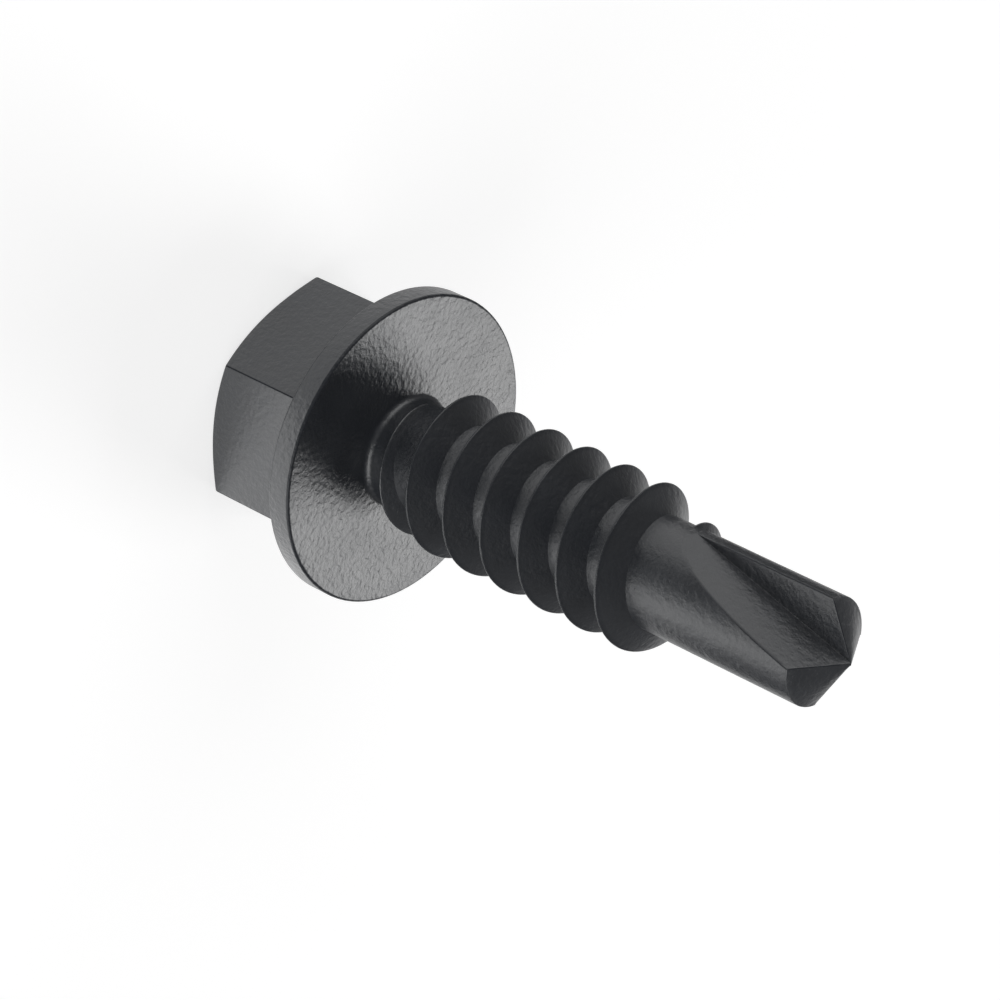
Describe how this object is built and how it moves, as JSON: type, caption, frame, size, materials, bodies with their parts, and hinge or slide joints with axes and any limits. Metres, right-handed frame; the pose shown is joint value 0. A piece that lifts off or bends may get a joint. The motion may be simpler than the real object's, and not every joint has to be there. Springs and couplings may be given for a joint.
{
  "type": "self-drilling screw",
  "caption": "Short dark self-drilling sheet metal screw with a hexagon washer head, coarse thread and fluted drill point, standing on its head.",
  "frame": {"origin": "centre of the flat end of the head, on the surface that the screw stands on", "axes": "+Z along the screw's axis from the head to the drill point, +X through a corner of the hexagon"},
  "size_m": [0.011, 0.011, 0.0243],
  "materials": {
    "blackened_steel": "phosphated and oiled, satin"
  },
  "bodies": {
    "root": {"screw": "blackened_steel"}
  },
  "joints": []
}
